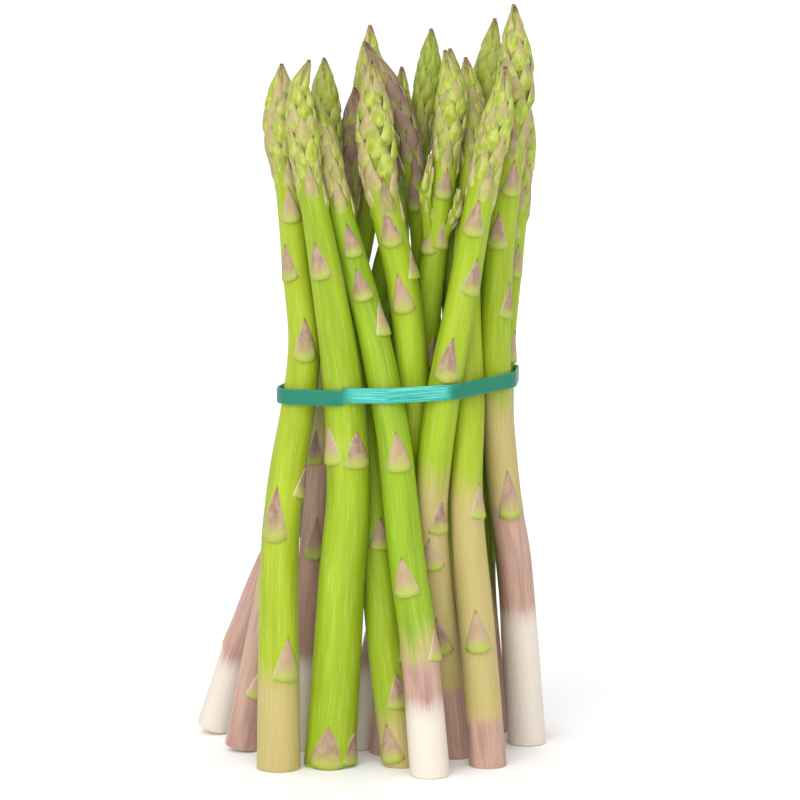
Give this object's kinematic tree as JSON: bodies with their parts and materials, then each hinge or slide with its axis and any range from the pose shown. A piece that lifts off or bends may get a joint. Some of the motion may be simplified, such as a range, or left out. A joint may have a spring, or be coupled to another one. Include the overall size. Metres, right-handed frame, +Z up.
{
  "type": "asparagus bundle",
  "caption": "Bundle of fresh asparagus spears with scaly heads and blushed feet, standing on their cut ends and held at the waist by a flat rubber band",
  "frame": {"origin": "On the floor under the middle of the bundle's bounding box, at the level of the cut ends", "axes": "+Z up along the standing spears, -Y towards the side that faces the viewer, +X to the viewer's right"},
  "size_m": [0.1074, 0.0748, 0.2285],
  "materials": {
    "asparagus_green": "waxy green plant skin, softly satin",
    "asparagus_blush": "waxy plant skin, white at the foot and purple to tan above",
    "teal_rubber": "smooth shiny teal rubber"
  },
  "bodies": {
    "root": {"spear_front_left": "asparagus_green", "spear_front_thick": "asparagus_green", "spear_front_diagonal": "asparagus_green", "spear_front_centre": "asparagus_green", "spear_front_right_bent": "asparagus_green", "spear_right_tan": "asparagus_green", "spear_right_tall": "asparagus_blush", "spear_right_edge": "asparagus_green", "spear_middle_low": "asparagus_green", "spear_left_purple": "asparagus_blush", "spear_back_left_long": "asparagus_blush", "spear_back_left_red": "asparagus_blush", "spear_back_leaning": "asparagus_blush", "spear_centre_with_shoots": "asparagus_green", "spear_back_thin": "asparagus_green", "spear_back_centre": "asparagus_green", "spear_back_right": "asparagus_green", "rubber_band": "teal_rubber"}
  },
  "joints": []
}
